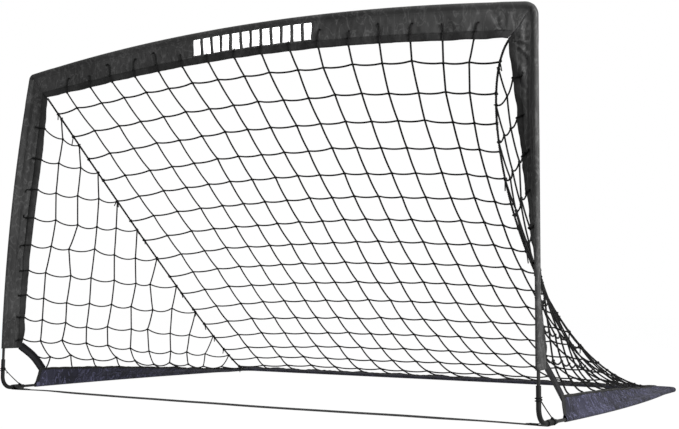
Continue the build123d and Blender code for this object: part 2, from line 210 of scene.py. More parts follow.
def twisted(name, dark, light, pitch):
    """Twisted yarn: slanting strands round a tube whose UV map is in metres."""
    mat = make_material(name, Specular_IOR_Level=0.06)
    strands = bands(mat, pitch, "DIAGONAL")
    base = ramp(mat, noise(mat, 40.0, 4), (0.3, dark), (0.75, light))
    base = mix(mat, 0.5, base, ramp(mat, strands, (0.0, 0.3), (0.8, 1)), "MULTIPLY")
    heights = [(strands, pitch / 5, 0.8), (noise(mat, 900.0, 2), 0.0001, 0.5)]
    return finish_material(mat, base, heights)


def coated_steel(name, dark, light, rough):
    """Satin powder coat over steel with a fine orange-peel and dull rubbed patches."""
    mat = make_material(name, Specular_IOR_Level=0.10, Coat_Weight=0.01, Coat_Roughness=0.3)
    patches = noise(mat, 18.0, 6)
    base = ramp(mat, patches, (0.35, dark), (0.7, light))
    return finish_material(mat, base, [(noise(mat, 700.0, 2), 0.00008, 0.4)],
                           remap(mat, patches, *rough))


def streaked(name, dark, light, metallic, rough):
    """Drawn tube or pulled fibre: long streaks along Z, with a slight sheen."""
    mat = make_material(name, Metallic=metallic, Specular_IOR_Level=0.5 if metallic else 0.12)
    lines = noise(mat, 9.0, 6, stretch=(90, 90, 3))
    base = ramp(mat, lines, (0.3, dark), (0.7, light))
    return finish_material(mat, base, [(lines, 0.00006, 0.5)], remap(mat, lines, *rough))


# The third value of each woven cloth is the grey of its painted highlight along the crinkles.
sleeve_cloth = woven("sleeve_cloth", 0.008, 0.018, 0.044, 0.0012, sheen=0.03)
hem_cloth = woven("hem_cloth", 0.004, 0.008, 0.014, 0.0003, weave=0.0007)
ground_cloth = woven("ground_cloth", 0.003, 0.012, 0.060, 0.0014, blue=0.75, weave=0.0010,
                     fold=8.0)
binding_tape = ribbed("binding_tape", 0.003, 0.008, 0.0012, blue=0.15, edge=0.020)
dark_binding = ribbed("dark_binding", 0.003, 0.006, 0.0010)
strap_webbing = ribbed("strap_webbing", 0.002, 0.004, 0.0016)
net_twine = twisted("net_twine_yarn", 0.0012, 0.003, 0.0030)
seam_yarn = twisted("seam_rope_yarn", 0.002, 0.005, 0.0020)
tie_cord = twisted("tie_cord_yarn", 0.0012, 0.003, 0.0016)
thread = twisted("sewing_thread", 0.006, 0.014, 0.0008)
black_steel = coated_steel("black_steel_coat", 0.002, 0.005, (0.45, 0.6))
fibreglass = streaked("fibreglass_rod", 0.003, 0.007, 0.0, (0.42, 0.56))
ferrule_steel = streaked("ferrule_metal", 0.42, 0.58, 1.0, (0.22, 0.36))
shock_cord = twisted("shock_cord_sheath", 0.25, 0.5, 0.0022)
white_print = make_material("white_print", 0.5)
finish_material(white_print,
                ramp(white_print, noise(white_print, 60.0, 5), (0.3, 0.78), (0.6, 0.92)),
                [(noise(white_print, 250.0, 3), 0.00006, 0.5)])

CAD_FINISHES = (
    ("_pole", fibreglass), ("_ferrule", ferrule_steel), ("_elbow", black_steel),
    ("_shock_cord", shock_cord),
)
for node_name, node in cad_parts.items():
    found = [finish for ending, finish in CAD_FINISHES if node_name.endswith(ending)]
    node.data.materials.clear()
    node.data.materials.append(found[0] if found else sleeve_cloth)
    for polygon in node.data.polygons:
        polygon.use_smooth = True


# ---- mesh helpers ----
def unit(v):
    v = np.asarray(v, float)
    return v / np.maximum(np.linalg.norm(v, axis=-1, keepdims=True), 1e-12)


def smooth(low, high, x):
    """0 up to low, 1 from high on, and an S-curve between."""
    t = np.clip((np.asarray(x, float) - low) / (high - low), 0, 1)
    return t * t * (3 - 2 * t)


def square_to(level, along):
    """The part of one direction that is square to another."""
    return level - along * (level * along).sum(-1, keepdims=True)


def distances(points):
    """How far along a path each of its points is."""
    return np.concatenate([[0], np.cumsum(np.linalg.norm(np.diff(points, axis=0), axis=1))])


def around(count):
    """Even angles round a circle."""
    return np.linspace(0, 2 * math.pi, count, endpoint=False)


def waves(seed, count, short, long, s, a, spread):
    """A sum of plane waves of lengths short to long, over two coordinates in metres, about one
    in size. They run along s to within the spread, an angle."""
    rng = np.random.default_rng(seed)
    total = np.zeros(np.broadcast(s, a).shape)
    for _ in range(count):
        length = math.exp(rng.uniform(math.log(short), math.log(long)))
        angle, phase = rng.uniform(-spread, spread), rng.uniform(0, 2 * math.pi)
        reach = s * math.cos(angle) + a * math.sin(angle)
        total = total + np.cos(2 * math.pi * reach / length + phase)
    return total * math.sqrt(2 / count)


def build(name, parts, material, body=None, replaces=()):
    """One smooth-shaded object from (vertices, faces, UV per face corner) parts."""
    verts, faces, uvs, base = [], [], [], 0
    for points, part_faces, part_uvs in parts:
        verts.append(points)
        faces.append(part_faces + base)
        uvs.append(part_uvs)
        base += len(points)
    verts, faces, uvs = np.concatenate(verts), np.concatenate(faces), np.concatenate(uvs)
    mesh = bpy.data.meshes.new(name)
    mesh.vertices.add(len(verts))
    mesh.vertices.foreach_set("co", verts.astype(np.float32).ravel())
    mesh.loops.add(faces.size)
    mesh.loops.foreach_set("vertex_index", faces.astype(np.int32).ravel())
    mesh.polygons.add(len(faces))
    mesh.polygons.foreach_set("loop_start", np.arange(0, faces.size, 4, dtype=np.int32))
    mesh.polygons.foreach_set("use_smooth", np.ones(len(faces), bool))
    layer = mesh.uv_layers.new(name="UVMap")
    layer.data.foreach_set("uv", uvs.reshape(-1, 2).astype(np.float32).ravel())
    mesh.update(calc_edges=True)
    mesh.validate()
    mesh.materials.append(material)
    made = bpy.data.objects.new(name, mesh)
    bpy.context.scene.collection.objects.link(made)
    if body:
        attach(made, body)
    if replaces:
        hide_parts(*replaces)
    return made


def grid_faces(rows, columns, ring=False):
    """The quads of a grid of points, closed across its columns if it's a ring."""
    r, c = np.meshgrid(np.arange(rows - 1), np.arange(columns - (not ring)), indexing="ij")
    r, c = r.ravel(), c.ravel()
    n = (c + 1) % columns
    low, high = r * columns, (r + 1) * columns
    return np.stack([low + c, low + n, high + n, high + c], 1)


def grid_uvs(u, v, faces):
    flat = np.stack([u.ravel(), v.ravel()], 1)
    return flat[faces].reshape(-1, 2)


def surface(points, u, v, thick):
    """A cloth of that thickness over a grid of points, closed along its four edges."""
    rows, columns = points.shape[:2]
    along = np.gradient(points, axis=0)
    across = np.gradient(points, axis=1)
    normal = unit(np.cross(along, across))
    front, back = points + normal * thick / 2, points - normal * thick / 2
    faces = grid_faces(rows, columns)
    size = rows * columns
    index = np.arange(size).reshape(rows, columns)
    rim = np.concatenate([index[0, :], index[1:, -1], index[-1, -2::-1], index[-2:0:-1, 0]])
    after = np.roll(rim, -1)
    rim_faces = np.stack([rim, after, after + size, rim + size], 1)
    back_faces = faces[:, ::-1] + size
    all_faces = np.concatenate([faces, back_faces, rim_faces[:, ::-1]])
    both = np.concatenate([front.reshape(-1, 3), back.reshape(-1, 3)])
    return both, all_faces, grid_uvs(np.stack([u, u]), np.stack([v, v]), all_faces)


def frames(line):
    """Parallel-transported side directions along a line of points."""
    way = unit(np.gradient(line, axis=0))
    side = np.zeros_like(line)
    start = np.cross(way[0], (0, 0, 1)) if abs(way[0][2]) < 0.9 else np.cross(way[0], (1, 0, 0))
    side[0] = unit(start)
    for k in range(1, len(line)):
        d = side[k - 1] - way[k] * side[k - 1].dot(way[k])
        side[k] = d / max(math.sqrt(d.dot(d)), 1e-12)
    return way, side, np.cross(way, side)


def ring_of(side, up, angle):
    """Unit circles round a line, one point for each angle, from its two side directions."""
    return side[:, None] * np.cos(angle)[:, None] + up[:, None] * np.sin(angle)[:, None]


def tube(line, radius, sides, closed=False):
    """A tube along points, with round or pinched ends; radius may change along it."""
    line = np.asarray(line, float)
    radius = np.broadcast_to(np.asarray(radius, float), (len(line),)).copy()
    if not closed:
        way, side, up = frames(line)
        line = np.concatenate([line[:1] - way[:1] * radius[0] * 0.5, line,
                               line[-1:] + way[-1:] * radius[-1] * 0.5])
        side, up = (np.concatenate([x[:1], x, x[-1:]]) for x in (side, up))
        radius = np.concatenate([[radius[0] * 0.3], radius, [radius[-1] * 0.3]])
    else:
        way, side, up = frames(np.concatenate([line[-1:], line, line[:1]]))
        side, up = side[1:-1], up[1:-1]
    points = line[:, None] + ring_of(side, up, around(sides)) * radius[:, None, None]
    faces = grid_faces(len(line), sides, ring=True)
    run = distances(line)
    r, c = faces[:, 0] // sides, faces[:, 0] % sides
    girth = 2 * math.pi * radius.max() / sides
    u0, u1, v0 = run[r], run[np.minimum(r + 1, len(run) - 1)], c * girth
    uv = np.stack([np.stack([u0, v0], 1), np.stack([u0, v0 + girth], 1),
                   np.stack([u1, v0 + girth], 1), np.stack([u1, v0], 1)], 1).reshape(-1, 2)
    if closed:
        last = (len(line) - 1) * sides
        k = np.arange(sides)
        join = np.stack([last + k, last + (k + 1) % sides, (k + 1) % sides, k], 1)
        faces = np.concatenate([faces, join])
        uv = np.concatenate([uv, np.zeros((sides * 4, 2))])
    else:
        half = sides // 2
        for end in (0, (len(line) - 1) * sides):
            for k in range(half - 1):
                quad = [end + (x % sides) for x in (k, k + 1, sides - 2 - k, sides - 1 - k)]
                faces = np.concatenate([faces, [quad if end else quad[::-1]]])
                uv = np.concatenate([uv, np.zeros((4, 2))])
    return points.reshape(-1, 3), faces, uv


def curve_through(points, per):
    """Catmull-Rom points through the given ones, so many for each stretch."""
    p = np.asarray(points, float)
    if len(p) < 3:
        t = np.linspace(0, 1, per + 1)[:, None]
        return p[0] + (p[-1] - p[0]) * t
    q = np.concatenate([[2 * p[0] - p[1]], p, [2 * p[-1] - p[-2]]])
    out = []
    for k in range(1, len(q) - 2):
        for t in np.arange(per) / per:
            out.append(0.5 * (2 * q[k] + (q[k + 1] - q[k - 1]) * t
                              + (2 * q[k - 1] - 5 * q[k] + 4 * q[k + 1] - q[k + 2]) * t * t
                              + (3 * q[k] - q[k - 1] - 3 * q[k + 1] + q[k + 2]) * t ** 3))
    out.append(p[-1])
    return np.array(out)


class Line:
    """A path of points that can be read by distance."""

    def __init__(self, points):
        self.p = np.asarray(points, float)
        self.s = distances(self.p)
        self.length = self.s[-1]

    def at(self, s):
        return np.stack([np.interp(s, self.s, self.p[:, k]) for k in range(3)], -1)

    def way(self, s):
        s, near = np.asarray(s, float), 0.004
        return unit(self.at(np.minimum(s + near, self.length)) - self.at(np.maximum(s - near, 0)))


def rounded(points, radii):
    """The points of a path whose inner corners are arcs of those radii."""
    p = [np.array(x, float) for x in points]
    out = [p[0]]
    for a, b, c, radius in zip(p, p[1:], p[2:], radii):
        u, v = unit(b - a), unit(c - b)
        turn = math.acos(np.clip(u @ v, -1, 1))
        if turn < 1e-6 or radius == 0:
            out.append(b)
            continue
        start = b - u * radius * math.tan(turn / 2)
        inward = unit(v - u * (u @ v))
        for angle in np.linspace(0, turn, max(8, int(radius * turn / 0.01))):
            out.append(start + radius * (u * math.sin(angle) + inward * (1 - math.cos(angle))))
    return np.array(out + [p[-1]])


# ---- the poles' axes, as in the CAD source ----
lean = math.hypot(LEAN_IN, LEAN_BACK)      # from an upright's foot to its top, seen from above
upright_turn = 2 * math.atan(lean / (CORNER_Z - BEND_START + TOP_REACH))
upright_run = lean / math.sin(upright_turn) - TOP_REACH
crossbar_turn = 2 * math.atan(RISE / (TOP_HALF + TOP_REACH))
arch_top = np.array([0, TOP_Y, CORNER_Z + TOP_HALF * math.tan(crossbar_turn)])
arch_radius = (TOP_HALF / math.cos(crossbar_turn) - TOP_REACH) / math.tan(crossbar_turn)


def corner_of(side):
    return np.array([side * TOP_HALF, TOP_Y, CORNER_Z])


def bend_of(side):
    return np.array([side * HALF_WIDTH, FRONT_Y, BEND_START + upright_run])


def upright_line(side):
    """An upright's axis from its sleeve's foot to the top corner."""
    points = [(side * HALF_WIDTH, FRONT_Y, 0.0), bend_of(side), corner_of(side)]
    whole = Line(rounded(points, [upright_run / math.tan(upright_turn / 2)]))
    start = np.interp(SLEEVE_FOOT, whole.p[:, 2], whole.s)
    return Line(whole.at(np.linspace(start, whole.length, 160)))


crossbar_line = Line(rounded([corner_of(-1), arch_top, corner_of(1)], [arch_radius]))

rail_end = REAR_Y - REAR_REACH - RETURN
half_rail = (rail_end - FRONT_Y) / 2
bow_run = half_rail - FRONT_LEG - 0.001
bow_point = BOW / (1 - bow_run / (2 * half_rail))
turn_rear = math.atan((HALF_WIDTH + bow_point - HALF_REAR) / half_rail)
bow_radius = bow_run / math.tan((math.atan(bow_point / half_rail) + turn_rear) / 2)


def rail_line(side):
    """A ground rail's axis from the front elbow's corner to the rear elbow's first end."""
    points = [
        (side * HALF_WIDTH, FRONT_Y, GROUND_Z),
        (side * (HALF_WIDTH + bow_point), (FRONT_Y + rail_end) / 2, GROUND_Z),
        (side * HALF_REAR, rail_end, GROUND_Z),
        (side * HALF_REAR, REAR_Y - REAR_REACH, GROUND_Z),
    ]
    return Line(rounded(points, [bow_radius, RETURN / math.tan(turn_rear / 2)]))


def leg_point(side, back):
    return np.array([side * (HALF_WIDTH + back * bow_point / half_rail), FRONT_Y + back, GROUND_Z])


# ---- camera, floor and light ----
def look_from(place, yaw, pitch, roll, lens):
    """The camera; yaw turns it right of +Y, pitch up, and roll anticlockwise, in radians."""
    level = math.cos(pitch)
    forward = Vector((math.sin(yaw) * level, math.cos(yaw) * level, math.sin(pitch)))
    right = Vector((math.cos(yaw), -math.sin(yaw), 0))
    up = right.cross(forward)
    cos, sin = math.cos(roll), math.sin(roll)
    right, up = right * cos + up * sin, up * cos - right * sin
    data = bpy.data.cameras.new("camera")
    data.lens, data.sensor_width, data.clip_end = lens, 36.0, 200.0
    camera = bpy.data.objects.new("camera", data)
    turn = Matrix((right, up, -forward)).transposed()
    camera.matrix_world = Matrix.Translation(place) @ turn.to_4x4()
    bpy.context.scene.collection.objects.link(camera)
    bpy.context.scene.camera = camera


look_from((1.8247, -3.0978, 0.2871), yaw=-0.5430, pitch=0.0846, roll=0.0088, lens=56.41)


def soft_light(name, place, target, size, power):
    data = bpy.data.lights.new(name, "AREA")
    data.shape, data.size, data.size_y = "RECTANGLE", size[0], size[1]
    data.energy = power
    light = bpy.data.objects.new(name, data)
    light.location = place
    light.rotation_euler = (Vector(target) - Vector(place)).to_track_quat("-Z", "Y").to_euler()
    bpy.context.scene.collection.objects.link(light)


soft_light("key_right", (2.9, -1.5, 1.6), (0.9, -0.5, 0.6), (1.2, 1.2), 390)
soft_light("fill_front", (-0.6, -4.6, 2.8), (0, 0, 0.5), (3.5, 2.5), 60)
soft_light("top", (0, 0.3, 4.2), (0, 0, 0), (4.0, 4.0), 70)

world = bpy.data.worlds.new("studio")
bpy.context.scene.world = world
world.use_nodes = True
world.node_tree.nodes["Background"].inputs["Color"].default_value = (1, 1, 1, 1)
world.node_tree.nodes["Background"].inputs["Strength"].default_value = 1.0
bpy.context.scene.view_settings.view_transform = "Standard"

floor_mat = make_material("floor_paper", 0.9, Specular_IOR_Level=0.0, Emission_Color=grey(1.0),
                          Emission_Strength=0.985)
finish_material(floor_mat, ramp(floor_mat, noise(floor_mat, 3.0), (0.3, 0.010), (0.7, 0.014)))
corners = 30.0 * np.array([[-1, -1, 0], [1, -1, 0], [1, 1, 0], [-1, 1, 0]])
build("floor", [(corners, np.array([[0, 1, 2, 3]]), corners[:, :2])], floor_mat)


# ---- flaps: cloth that hangs on a pole ----
def widened(a):
    """Where across a flap its extra depth is taken up: none at the pole, all of it at the hem."""
    return smooth(0.018, HOOP_FLAP - HEM, a)


class Flap:
    """A pole's doubled cloth. It is placed by distance along the pole (s), distance from the
    pole's axis across the flap (a) and height off the flap's middle (b)."""

    def __init__(self, line, across, folds, cuts, rounding=None, extra=None, slim=None):
        """cuts are the mitres at its ends; extra is the depth added to it and slim its channel's
        size against POCKET_R, both by s."""
        self.line, self.across_at, self.folds, self.rounding = line, across, folds, rounding
        self.start_cut, self.end_cut = (cut or (lambda a: a * 0.0) for cut in cuts)
        self.extra = extra or (lambda s: 0.0)
        self.slim = slim or (lambda s: 1.0)

    def span(self, a, inset=0.0):
        """First and last s at a distance across the flap, with mitred ends."""
        a = np.asarray(a, float)
        return self.start_cut(a) + inset, self.line.length - self.end_cut(a) - inset

    def place(self, s, a, b):
        s, a, b = np.broadcast_arrays(s, a, b)
        inside = np.clip(s, 0, self.line.length)
        point, along = self.line.at(inside), self.line.way(inside)
        point = point + along * (s - inside)[..., None]
        across = unit(self.across_at(inside, along))
        normal = unit(np.cross(along, across))
        lift = self.folds(s, a) * smooth(0.008, 0.030, a)
        off_axis = np.hypot(np.minimum(a, 0), b)
        tight = 1 + (self.slim(inside) - 1) * smooth(0.002, 0.005, off_axis)
        deep = np.where(a < 0, a * tight, a + self.extra(inside) * widened(a))
        out = point + across * deep[..., None] + normal * (b * tight + lift)[..., None]
        return self.rounding(out) if self.rounding else out


def pocket(a_edge, root, flat_count):
    """The cloth's way round a pole: (a, b) from the flap's edge round the pole and back. The
    cloth lies flat from the edge to the root, and opens round the pole from there."""
    flat = np.linspace(a_edge, root, flat_count)
    rise = np.linspace(root, 0, 7)[1:]
    r = POCKET_R - SLEEVE_THICK / 2
    lift = SLEEVE_GAP + (r - SLEEVE_GAP) * (1 - smooth(0, root, rise))
    arc = np.linspace(math.pi / 2, 3 * math.pi / 2, 11)[1:-1]
    a = np.concatenate([flat, rise, r * np.cos(arc), rise[::-1], flat[::-1]])
    b = np.concatenate([np.full(flat_count, SLEEVE_GAP), lift, r * np.sin(arc), -lift[::-1],
                        np.full(flat_count, -SLEEVE_GAP)])
    return a, b


def fold_edge(a_from, a_edge, gap):
    """A strip of cloth folded over a flap's edge."""
    out = np.linspace(a_from, a_edge - gap, 5)
    arc = np.linspace(math.pi / 2, -math.pi / 2, 7)[1:-1]
    a = np.concatenate([out, a_edge - gap + gap * np.cos(arc), out[::-1]])
    b = np.concatenate([np.full(5, gap), gap * np.sin(arc), np.full(5, -gap)])
    return a, b


def cloth_on(flap, profile, step, thick, inset=0.0):
    """A surface part over a flap from an (a, b) profile; also its cut width and length."""
    a, b = profile
    width = np.concatenate([[0], np.cumsum(np.hypot(np.diff(a), np.diff(b)))])
    low, high = flap.span(a, inset)
    count = max(3, int((high - low).max() / step) + 1)
    share = np.linspace(0, 1, count)[:, None]
    s = low[None] + (high - low)[None] * share
    points = flap.place(s, a[None], b[None])
    cut_width = float(np.linalg.norm(np.diff(points, axis=1), axis=2).sum(1).mean())
    part = surface(points, s, np.broadcast_to(width[None], s.shape), thick)
    return part, cut_width, float((high - low).mean())


def sew(flap, a, b, span):
    """A row of short threads lying on a flap's face, both ends dipping into it."""
    starts = np.arange(span[0] + STITCH_PITCH, span[1] - STITCH_PITCH, STITCH_PITCH)
    s = starts[:, None] + np.linspace(-0.5, 0.5, 4) * STITCH_LENGTH
    height = b + np.array([-0.0004, 0.0, 0.0, -0.0004]) * (1 if b > 0 else -1)
    middle = flap.place(s, np.full_like(s, a), height[None])
    way = unit(middle[:, 2] - middle[:, 1])
    side = unit(np.cross(way, flap.across_at(s[:, 1], way)))
    ring = ring_of(side, np.cross(way, side), around(4) + math.pi / 4)
    points = (middle[:, :, None] + ring[:, None] * STITCH_R).reshape(-1, 3)
    first = np.arange(len(s)) * s.shape[1] * 4
    faces = (grid_faces(s.shape[1], 4, ring=True)[None] + first[:, None, None]).reshape(-1, 4)
    return points, faces, np.zeros((faces.size, 2))


def seam_rows(flap, rows, inset, span_at=None):
    """Stitches on both faces of a flap, as long as the flap is at their row or at span_at."""
    parts = []
    for a, height in rows:
        span = flap.span(a if span_at is None else span_at, inset)
        parts += [sew(flap, a, b, span) for b in (height, -height)]
    return parts


def hem_band(flap, name, body):
    """The dark tape folded over a hoop flap's inner edge, with two rows of stitches."""
    profile = fold_edge(HOOP_FLAP - HEM, HOOP_FLAP, 0.00155)
    part, width, length = cloth_on(flap, profile, 0.006, HEM_THICK, 0.0004)
    hem = build(name, [part], hem_cloth, body, (name,))
    sewn = build(name + "_stitches", seam_rows(flap, HEM_ROWS, 0.004), thread, body)


def corner_ways(side):
    """Down the upright and in along the crossbar from a top corner, and their angle's cos, sin."""
    down, inward = unit(bend_of(side) - corner_of(side)), unit(arch_top - corner_of(side))
    cos = down @ inward
    return down, inward, cos, math.sqrt(1 - cos * cos)


def mitre(side, own, other):
    """A mitred end's pull-in at a distance across, for this flap's and its neighbour's extra."""
    _, _, cos, sin = corner_ways(side)
    return lambda a: (a + other * widened(a) + (a + own * widened(a)) * cos) / sin


def corner_rounding(side, radius):
    """Rounds a hoop sleeve's outer corner, which its two straight edges would leave sharp."""
    down, inward, cos, sin = corner_ways(side)
    outer = corner_of(side) + unit(-(down + inward)) * POCKET_R / math.sin(math.acos(cos) / 2)
    below, beside = unit(down - inward * cos), unit(inward - down * cos)
    normal = unit(np.cross(down, inward))

    def bend(points):
        d = points - outer
        p, q, n = d @ below, d @ beside, d @ normal
        near = (p < radius) & (q < radius)
        x, y = p - radius, q - radius
        big, far = np.maximum(np.abs(x), np.abs(y)), np.hypot(x, y)
        share = np.where(near, big / np.maximum(far, 1e-9), 1.0)
        x, y = x * share, y * share
        flat = ((x + radius)[..., None] * down + (y + radius)[..., None] * inward) / sin
        moved = outer + flat + n[..., None] * normal
        return np.where(near[..., None], moved, points)

    return bend


ROUNDING = {-1: corner_rounding(-1, 0.016), 1: corner_rounding(1, 0.034)}
NAMES = {-1: "left", 1: "right"}


def both_roundings(points):
    return ROUNDING[1](ROUNDING[-1](points))


def radial_folds(across_from_inner, along_from_inner, size, seed):
    """Creases that fan out from a corner's inner point, at about these angles."""
    r = np.hypot(across_from_inner, along_from_inner)
    angle = np.arctan2(along_from_inner, across_from_inner)
    rng = np.random.default_rng(seed)
    total = np.zeros_like(r)
    for centre in (-0.70, -0.30, 0.04, 0.26, 0.47, 0.66):
        centre += rng.uniform(-0.05, 0.05)
        sharp = rng.uniform(0.055, 0.085)
        total += rng.uniform(0.45, 1.0) * np.exp(-((angle - centre) / sharp) ** 2)
    return size * total * smooth(0.004, 0.030, r) * (1 - smooth(0.060, 0.115, r))


# How deep an upright's flap is in all, by height: heights, then depths. CORNER_EXTRA is what the
# crossbar's and the upright's flap have beyond HOOP_FLAP at a top corner.
DEPTHS = {
    -1: ((0.135, 0.20, 0.30, 0.43, 0.55, 0.68, 0.805, 0.90, 0.94),
         (0.078, 0.076, 0.070, 0.066, 0.068, 0.072, 0.079, 0.085, 0.086)),
    1: ((0.135, 0.30, 0.46, 0.66, 0.757, 0.856, 0.92, 0.94),
        (0.076, 0.070, 0.067, 0.067, 0.067, 0.069, 0.073, 0.074)),
}
CORNER_EXTRA = {-1: (0.090 - HOOP_FLAP, 0.086 - HOOP_FLAP),
                1: (0.089 - HOOP_FLAP, 0.074 - HOOP_FLAP)}
CHANNEL = 0.0072 / POCKET_R                # the hoop's pole channel against its size at an elbow
RAIL_CHANNEL = 0.0062 / POCKET_R           # and the rails'
FOOT_TURN, MIDDLE_TURN = math.radians(89.0), math.radians(3.0)


def upright_flap(side):
    line = upright_line(side)
    length = line.length
    cut = mitre(side, CORNER_EXTRA[side][1], CORNER_EXTRA[side][0])
    inner = float(cut(HOOP_FLAP))

    def across(s, along):
        low = np.clip((length - 0.060 - s) / (length - 0.060), 0, 1)
        turn = FOOT_TURN * low + (MIDDLE_TURN if side > 0 else 0.0) * np.sin(math.pi * low)
        level = np.stack([-side * np.cos(turn), np.sin(turn), np.zeros_like(turn)], -1)
        return square_to(level, along)

    seed = 11 if side > 0 else 12

    def folds(s, a):
        soft = 0.0016 * waves(seed, 7, 0.05, 0.20, s, a, 1.3) * smooth(0.0, 0.05, a)
        fine = 0.0005 * waves(seed + 20, 8, 0.016, 0.040, s, a, 1.5)
        long = 0.0011 * waves(seed + 40, 5, 0.02, 0.05, a, s * 0.12, 0.5)
        size = 0.0056 if side > 0 else 0.0016
        fan = radial_folds(HOOP_FLAP - a, inner - (length - s), size, seed)
        return (soft + fine + long + fan) * smooth(0.0, 0.012, length - cut(a) - s)

    return Flap(line, across, folds, (None, cut), both_roundings,
                lambda s: np.interp(line.at(s)[..., 2], *DEPTHS[side]) - HOOP_FLAP,
                lambda s: CHANNEL + (1 - CHANNEL) * smooth(length - 0.115, length - 0.085, s))


def crossbar_flap():
    line = crossbar_line
    length = line.length
    cuts = [mitre(side, *CORNER_EXTRA[side]) for side in (-1, 1)]
    inner = [float(cut(HOOP_FLAP)) for cut in cuts]
    down = {side: unit(bend_of(side) - corner_of(side)) for side in (-1, 1)}

    def across(s, along):
        left, right = 1 - smooth(0.05, 0.30, s), smooth(length - 0.30, length - 0.05, s)
        plain = np.stack([along[..., 2], np.full_like(s, 0.06), -along[..., 0]], -1)
        ends = left[..., None] * down[-1] + right[..., None] * down[1]
        return square_to(ends + (1 - left - right)[..., None] * plain, along)

    def folds(s, a):
        soft = 0.0015 * waves(31, 7, 0.07, 0.30, s, a, 1.3) * smooth(0.0, 0.05, a)
        fine = 0.0005 * waves(32, 8, 0.018, 0.045, s, a, 1.5)
        pull = 0.0009 * np.cos(2 * math.pi * (s - length / 2) / CELL) * smooth(0.035, 0.078, a)
        fan = (radial_folds(HOOP_FLAP - a, inner[1] - (length - s), 0.0046, 33)
               + radial_folds(HOOP_FLAP - a, inner[0] - s, 0.0012, 34))
        ends = smooth(0.0, 0.012, s - cuts[0](a)) * smooth(0.0, 0.012, length - cuts[1](a) - s)
        return (soft + fine + pull + fan) * ends

    def slim(s):
        clear = smooth(0.085, 0.115, s) * smooth(0.085, 0.115, length - s)
        return CHANNEL + (1 - CHANNEL) * (1 - clear)

    return Flap(line, across, folds, cuts, both_roundings,
                lambda s: np.interp(s / length, (0.1, 0.5, 0.9), (0.012, 0.010, 0.011)), slim)


uprights = {side: upright_flap(side) for side in (-1, 1)}
crossbar = crossbar_flap()

for name, flap, sections in (("left_upright", uprights[-1], ("lower", "upper")),
                             ("right_upright", uprights[1], ("lower", "upper")),
                             ("crossbar", crossbar, ("left", "middle", "right"))):
    profile = pocket(HOOP_FLAP - 0.006, 0.014, 19)
    part, width, length = cloth_on(flap, profile, 0.004, SLEEVE_THICK, 0.0004)
    sleeve_name = name + "_sleeve"
    sleeve = build(sleeve_name, [part], sleeve_cloth, "hoop", (sleeve_name,))
    seam = build(name + "_channel_stitches", seam_rows(flap, HOOP_ROWS, 0.006), thread, "hoop")
    hem_band(flap, name + "_hem", "hoop")


# ---- the crossbar's print: a plain row of bars ----
crossbar_middle = crossbar_line.length / 2
BARS, BAR_PITCH, BAR_HALF, BAR_B = 12, 0.0364, 0.0125, -0.00175
PRINT_MIDDLE, PRINT_HALF = crossbar_middle + 0.0125, 0.222
bars = []
for k in range(BARS):
    middle = PRINT_MIDDLE + (k - (BARS - 1) / 2) * BAR_PITCH
    s, a = np.meshgrid(np.linspace(middle - BAR_HALF, middle + BAR_HALF, 8),
                       np.linspace(0.0145, 0.0520, 9), indexing="ij")
    bars.append(surface(crossbar.place(s, a, BAR_B), s, a, 0.0003))
build("crossbar_print", bars, white_print, "hoop")


# ---- flaps on the ground ----
# How many degrees a side's flap stands up, by distance behind the mouth.
TILT_BACK = (0.15, 0.30, 0.475, 0.60, 0.80, 1.04, 1.20)
TILT = {-1: (77.0, 67.0, 55.0, 46.0, 32.0, 17.0, 10.0),
        1: (80.0, 69.0, 58.0, 50.0, 36.0, 20.0, 12.0)}
SLANT = {-1: 0.006, 1: 0.0}                # how far back a ground flap's front edge leans


def rail_flap(side):
    line = rail_line(side)
    seed = 51 if side > 0 else 52

    def across(s, along):
        back = line.at(s)[..., 1] - FRONT_Y
        tilt = np.radians(np.interp(back, TILT_BACK, TILT[side]))
        inward = np.stack([-side * along[..., 1], side * along[..., 0], np.zeros_like(tilt)], -1)
        return inward * np.cos(tilt)[..., None] + np.array([0, 0, 1]) * np.sin(tilt)[..., None]

    def folds(s, a):
        soft = 0.0022 * waves(seed, 8, 0.05, 0.16, s, a, 1.4)
        fine = 0.0009 * waves(seed + 10, 10, 0.018, 0.050, s, a, 1.5)
        front = smooth(SIDE_FRONT, SIDE_FRONT + 0.03, s)
        calm = 1 - 0.6 * smooth(0.040, 0.060, a)
        return (soft + fine) * (0.25 + 0.75 * front) * smooth(0.0, 0.055, a) * 1.2 * calm

    def slim(s):
        return 1 - (1 - RAIL_CHANNEL) * (1 - smooth(line.length - 0.12, line.length - 0.02, s))

    cuts = (lambda a: SIDE_FRONT + SLANT[side] * a / GROUND_FLAP, lambda a: 0.003 + a * 0)
    return Flap(line, across, folds, cuts, slim=slim)


def ground_parts(flap):
    """A ground flap's cloth with its cut width and length, and the tape over its inner edge."""
    profile = pocket(GROUND_FLAP - 0.0015, 0.016, 13)
    tape = fold_edge(GROUND_FLAP - 0.007, GROUND_FLAP, 0.0015)
    return cloth_on(flap, profile, 0.005, SLEEVE_THICK), cloth_on(flap, tape, 0.006, HEM_THICK)[0]


rails = {side: rail_flap(side) for side in (-1, 1)}
for side, flap in rails.items():
    name, rail = NAMES[side] + "_ground_sleeve", NAMES[side] + "_rail"
    (part, width, length), edge = ground_parts(flap)
    sleeve = build(name, [part], ground_cloth, "base", (name,))
    a = np.linspace(0.010, GROUND_FLAP, 14)
    ds, b = fold_edge(-0.011, 0.0012, 0.0022)
    points = flap.place(flap.start_cut(a)[:, None] - ds[None], a[:, None], b[None])
    front = surface(points, np.broadcast_to(a[:, None], points.shape[:2]),   # its front edge's tape
                    np.broadcast_to(ds[None], points.shape[:2]), SLEEVE_THICK)
    rim = build(name + "_binding", [edge, front], dark_binding, "base")
    sewn = build(name + "_stitches", seam_rows(flap, GROUND_ROWS, 0.004), thread, "base")


